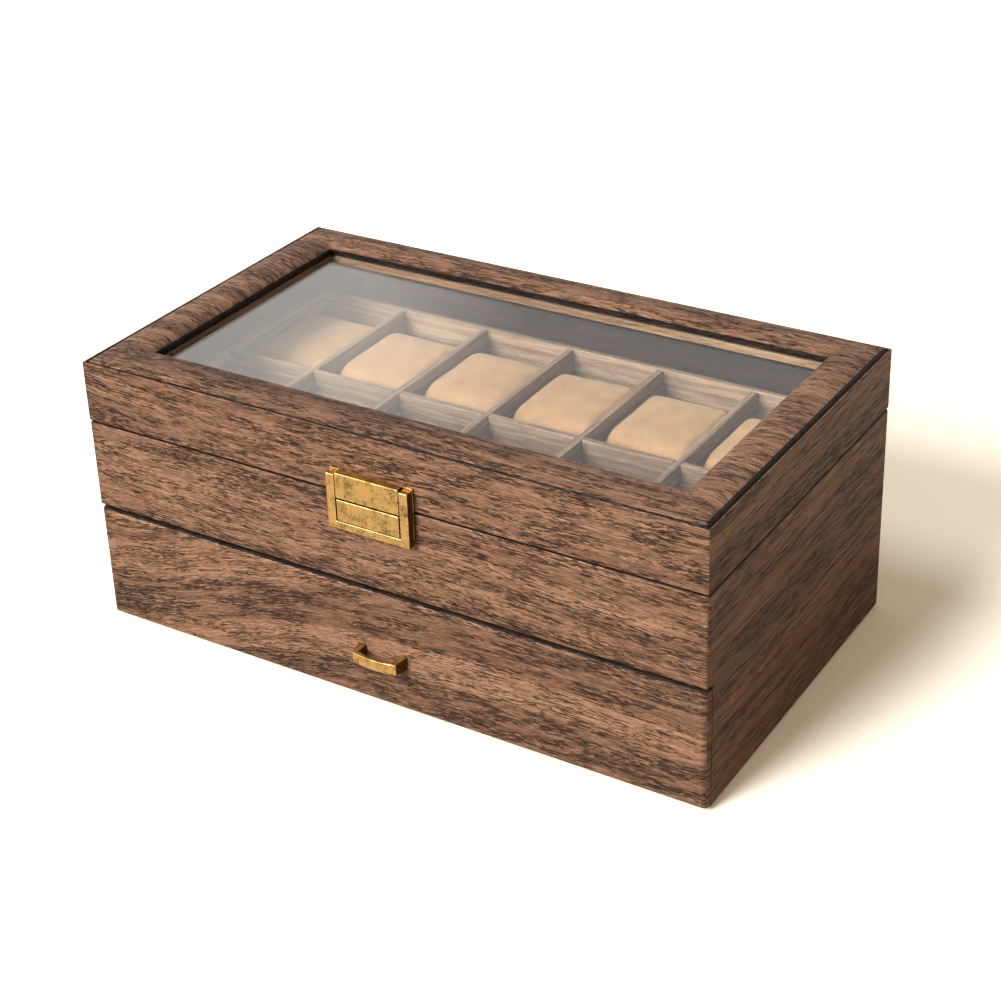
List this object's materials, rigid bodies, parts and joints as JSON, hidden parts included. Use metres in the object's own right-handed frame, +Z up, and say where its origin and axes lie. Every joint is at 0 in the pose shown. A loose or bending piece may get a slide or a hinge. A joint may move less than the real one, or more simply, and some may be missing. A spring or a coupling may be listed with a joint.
{
  "type": "watch box with drawer",
  "caption": "Wood-grain covered watch box with a hinged glazed lid, push-button clasp, lift-out watch pillows in cells and a lined drawer below.",
  "frame": {"origin": "middle of the case's footprint, on the surface that the box stands on", "axes": "+X to the right along the front, -Y out of the front with the clasp and drawer pull, +Z up"},
  "size_m": [0.336, 0.2098, 0.144],
  "materials": {
    "wood_grain_cover": "embossed wood-grain leatherette over fibreboard",
    "bare_board": "thin board covered with dark paper",
    "padded_cover": "embossed wood-grain leatherette over thin foam",
    "grain_lining": "wood-grain lining over thin board",
    "drawer_velvet": "short-pile velvet over card",
    "base_felt": "felt",
    "slip_strip": "slippery strip",
    "clear_glass": "clear float glass",
    "antique_brass": "speckled antique brass with bright edges",
    "steel": "plated steel",
    "pillow_suede": "beige microsuede over foam"
  },
  "bodies": {
    "case": {"left_wall": "wood_grain_cover", "right_wall": "wood_grain_cover", "upper_front_wall": "wood_grain_cover", "back_wall": "wood_grain_cover", "base_panel": "bare_board", "base_felt": "base_felt", "deck_board": "bare_board", "drawer_stop_batten": "bare_board", "drawer_glides": "slip_strip", "compartment_liner": "grain_lining", "compartment_floor_pad": "grain_lining", "long_divider": "grain_lining", "cross_divider_1": "grain_lining", "cross_divider_2": "grain_lining", "cross_divider_3": "grain_lining", "cross_divider_4": "grain_lining", "cross_divider_5": "grain_lining", "hinge_leaves_case": "antique_brass", "hinge_pins": "antique_brass", "clasp_case_plate": "antique_brass", "clasp_frame": "antique_brass", "clasp_springs": "steel", "case_screws": "antique_brass"},
    "lid": {"lid_left_wall": "wood_grain_cover", "lid_right_wall": "wood_grain_cover", "lid_front_wall": "wood_grain_cover", "lid_back_wall": "wood_grain_cover", "lid_top_frame": "wood_grain_cover", "lid_top_pad": "padded_cover", "glass_pane": "clear_glass", "glass_bead": "wood_grain_cover", "hinge_leaves_lid": "antique_brass", "clasp_lid_plate": "antique_brass", "clasp_hook": "antique_brass", "lid_screws": "antique_brass"},
    "clasp_button": {"clasp_button": "antique_brass"},
    "drawer": {"drawer_front": "wood_grain_cover", "drawer_inner_front": "bare_board", "drawer_left_side": "bare_board", "drawer_right_side": "bare_board", "drawer_back": "bare_board", "drawer_bottom": "bare_board", "drawer_floor_pad": "drawer_velvet", "drawer_divider_1": "drawer_velvet", "drawer_divider_2": "drawer_velvet", "drawer_divider_3": "drawer_velvet", "drawer_pull": "antique_brass", "drawer_pull_screws": "steel"},
    "pillow_front_1": {"pillow_front_1": "pillow_suede"},
    "pillow_front_2": {"pillow_front_2": "pillow_suede"},
    "pillow_front_3": {"pillow_front_3": "pillow_suede"},
    "pillow_front_4": {"pillow_front_4": "pillow_suede"},
    "pillow_front_5": {"pillow_front_5": "pillow_suede"},
    "pillow_front_6": {"pillow_front_6": "pillow_suede"},
    "pillow_back_1": {"pillow_back_1": "pillow_suede"},
    "pillow_back_2": {"pillow_back_2": "pillow_suede"},
    "pillow_back_3": {"pillow_back_3": "pillow_suede"},
    "pillow_back_4": {"pillow_back_4": "pillow_suede"},
    "pillow_back_5": {"pillow_back_5": "pillow_suede"},
    "pillow_back_6": {"pillow_back_6": "pillow_suede"}
  },
  "joints": [
    {"name": "lid_hinge", "type": "hinge", "parent": "case", "child": "lid", "pos_m": [0, 0.0997, 0.11175], "axis": [-1, 0, 0], "range_deg": [0, 95]},
    {"name": "drawer_slide", "type": "slide", "parent": "case", "child": "drawer", "axis": [0, -1, 0], "range_m": [0, 0.156]},
    {"name": "clasp_press", "type": "slide", "parent": "case", "child": "clasp_button", "axis": [0, 1, 0], "range_m": [0, 0.0015], "stiffness_N_per_m": 300, "springref_m": -0.002, "deforming": ["clasp_springs"]},
    {"name": "lift_front_1", "type": "slide", "parent": "case", "child": "pillow_front_1", "axis": [0, 0, 1], "range_m": [0, 0.02]},
    {"name": "lift_front_2", "type": "slide", "parent": "case", "child": "pillow_front_2", "axis": [0, 0, 1], "range_m": [0, 0.02]},
    {"name": "lift_front_3", "type": "slide", "parent": "case", "child": "pillow_front_3", "axis": [0, 0, 1], "range_m": [0, 0.02]},
    {"name": "lift_front_4", "type": "slide", "parent": "case", "child": "pillow_front_4", "axis": [0, 0, 1], "range_m": [0, 0.02]},
    {"name": "lift_front_5", "type": "slide", "parent": "case", "child": "pillow_front_5", "axis": [0, 0, 1], "range_m": [0, 0.02]},
    {"name": "lift_front_6", "type": "slide", "parent": "case", "child": "pillow_front_6", "axis": [0, 0, 1], "range_m": [0, 0.02]},
    {"name": "lift_back_1", "type": "slide", "parent": "case", "child": "pillow_back_1", "axis": [0, 0, 1], "range_m": [0, 0.02]},
    {"name": "lift_back_2", "type": "slide", "parent": "case", "child": "pillow_back_2", "axis": [0, 0, 1], "range_m": [0, 0.02]},
    {"name": "lift_back_3", "type": "slide", "parent": "case", "child": "pillow_back_3", "axis": [0, 0, 1], "range_m": [0, 0.02]},
    {"name": "lift_back_4", "type": "slide", "parent": "case", "child": "pillow_back_4", "axis": [0, 0, 1], "range_m": [0, 0.02]},
    {"name": "lift_back_5", "type": "slide", "parent": "case", "child": "pillow_back_5", "axis": [0, 0, 1], "range_m": [0, 0.02]},
    {"name": "lift_back_6", "type": "slide", "parent": "case", "child": "pillow_back_6", "axis": [0, 0, 1], "range_m": [0, 0.02]}
  ]
}
